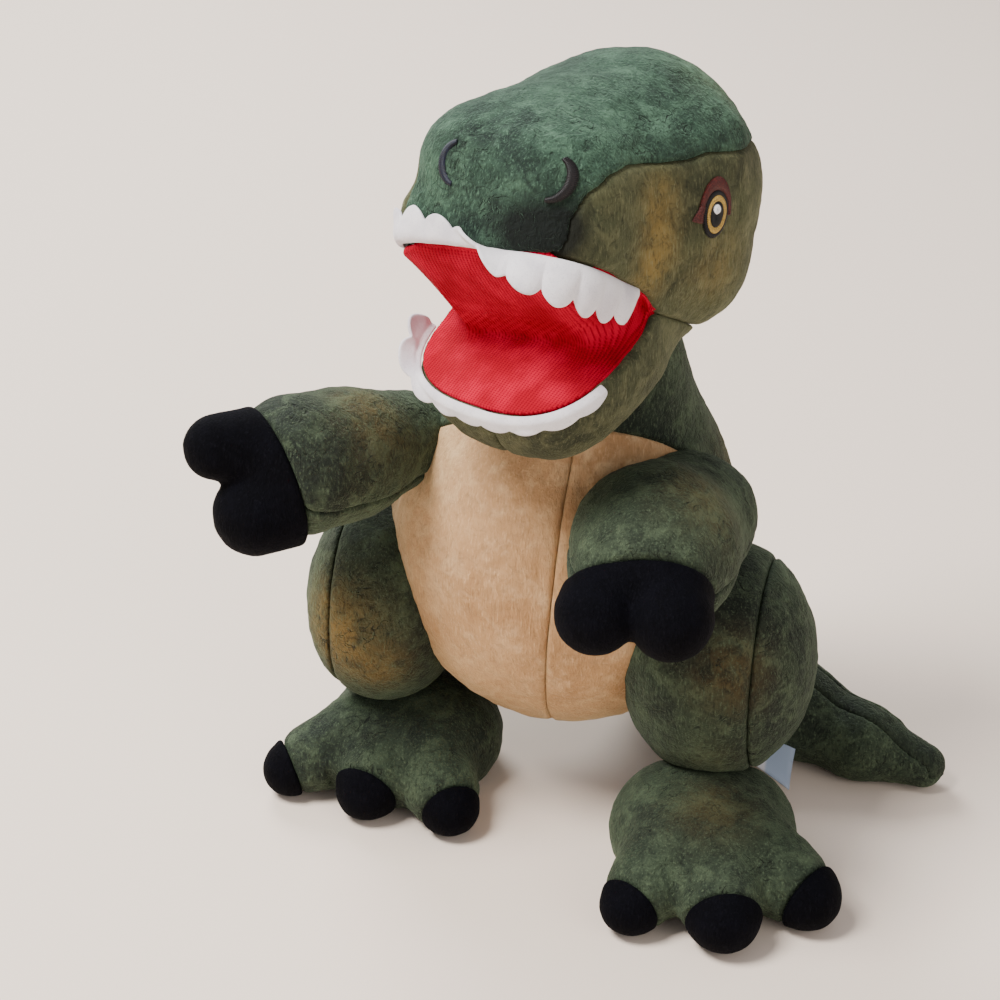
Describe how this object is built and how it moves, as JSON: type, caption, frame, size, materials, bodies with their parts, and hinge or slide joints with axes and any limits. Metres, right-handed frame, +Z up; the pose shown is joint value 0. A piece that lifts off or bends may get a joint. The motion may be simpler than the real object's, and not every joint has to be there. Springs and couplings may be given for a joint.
{
  "type": "plush dinosaur",
  "caption": "Soft stuffed dinosaur standing on two padded feet, big head with open mouth and felt teeth, small arms, short thick tail",
  "frame": {"origin": "on the floor, at the centre of the bounding box's bottom", "axes": "+Z up, the toy's chest faces -Y, its own left arm and the tail's tip are towards +X"},
  "size_m": [0.194, 0.154, 0.213],
  "materials": {
    "green_pile": "short pile knit, faded and a little dirty",
    "cream_pile": "short pile knit, tan to cream",
    "sole_cloth": "short pile knit, flat",
    "claw_velour": "dense black velour",
    "mouth_knit": "smooth red knit",
    "white_felt": "pressed felt",
    "eye_thread": "satin stitch embroidery in gold, black and white",
    "nostril_thread": "satin stitch embroidery",
    "fibre_fill": "loose polyester fibre",
    "label_satin": "woven satin, blank"
  },
  "bodies": {
    "torso": {"belly_panel_left": "cream_pile", "belly_panel_right": "cream_pile", "back_panel_left": "green_pile", "back_panel_right": "green_pile", "body_stuffing": "fibre_fill", "care_label": "label_satin"},
    "neck": {"neck_panel": "green_pile", "neck_stuffing": "fibre_fill"},
    "head": {"palate_lining": "mouth_knit", "crown_panel": "green_pile", "snout_panel": "green_pile", "cheek_panel_left": "green_pile", "cheek_panel_right": "green_pile", "head_stuffing": "fibre_fill", "upper_teeth": "white_felt", "eye_left": "eye_thread", "eye_right": "eye_thread", "nostril_left": "nostril_thread", "nostril_right": "nostril_thread"},
    "jaw": {"jaw_lining": "mouth_knit", "jaw_panel_left": "green_pile", "jaw_panel_right": "green_pile", "jaw_stuffing": "fibre_fill", "lower_teeth": "white_felt"},
    "arm_left": {"arm_upper_panel_left": "green_pile", "arm_under_panel_left": "green_pile", "arm_stuffing_left": "fibre_fill", "arm_claws_left": "claw_velour"},
    "arm_right": {"arm_upper_panel_right": "green_pile", "arm_under_panel_right": "green_pile", "arm_stuffing_right": "fibre_fill", "arm_claws_right": "claw_velour"},
    "leg_left": {"thigh_side_panel_left": "green_pile", "thigh_front_panel_left": "green_pile", "thigh_stuffing_left": "fibre_fill", "foot_sole_left": "sole_cloth", "foot_upper_left": "green_pile", "foot_stuffing_left": "fibre_fill", "toe_claw_left_inner": "claw_velour", "toe_claw_left_middle": "claw_velour", "toe_claw_left_outer": "claw_velour"},
    "leg_right": {"thigh_side_panel_right": "green_pile", "thigh_front_panel_right": "green_pile", "thigh_stuffing_right": "fibre_fill", "foot_sole_right": "sole_cloth", "foot_upper_right": "green_pile", "foot_stuffing_right": "fibre_fill", "toe_claw_right_inner": "claw_velour", "toe_claw_right_middle": "claw_velour", "toe_claw_right_outer": "claw_velour"},
    "tail": {"tail_gusset": "green_pile", "tail_panel_left": "green_pile", "tail_panel_right": "green_pile", "tail_stuffing": "fibre_fill"}
  },
  "joints": [
    {"name": "neck_turn", "type": "hinge", "parent": "torso", "child": "neck", "pos_m": [0, 0.002, 0.13], "axis": [0, 0, 1], "range_deg": [-12, 12], "stiffness_Nm_per_rad": 0.6},
    {"name": "head_nod", "type": "hinge", "parent": "neck", "child": "head", "pos_m": [0, 0.002, 0.13], "axis": [0.9272, -0.3746, 0], "range_deg": [-10, 8], "stiffness_Nm_per_rad": 0.8},
    {"name": "jaw_flex", "type": "hinge", "parent": "head", "child": "jaw", "pos_m": [-0.00049, -0.02154, 0.15948], "axis": [0.9272, -0.3746, 0], "range_deg": [-22, 4], "stiffness_Nm_per_rad": 0.1},
    {"name": "arm_left_swing", "type": "hinge", "parent": "torso", "child": "arm_left", "pos_m": [0.037, -0.023, 0.11], "axis": [1, 0, 0], "range_deg": [-18, 14], "stiffness_Nm_per_rad": 0.15},
    {"name": "arm_right_swing", "type": "hinge", "parent": "torso", "child": "arm_right", "pos_m": [-0.048, -0.014, 0.108], "axis": [1, 0, 0], "range_deg": [-18, 18], "stiffness_Nm_per_rad": 0.15},
    {"name": "leg_left_swing", "type": "hinge", "parent": "torso", "child": "leg_left", "pos_m": [0.038, -0.005, 0.055], "axis": [1, 0, 0], "range_deg": [-10, 10], "stiffness_Nm_per_rad": 1},
    {"name": "leg_right_swing", "type": "hinge", "parent": "torso", "child": "leg_right", "pos_m": [-0.054, 0.001, 0.056], "axis": [1, 0, 0], "range_deg": [-10, 10], "stiffness_Nm_per_rad": 1},
    {"name": "tail_swing", "type": "hinge", "parent": "torso", "child": "tail", "pos_m": [0.011, 0.058, 0.024], "axis": [0, 0, 1], "range_deg": [-4, 25], "stiffness_Nm_per_rad": 0.3}
  ]
}
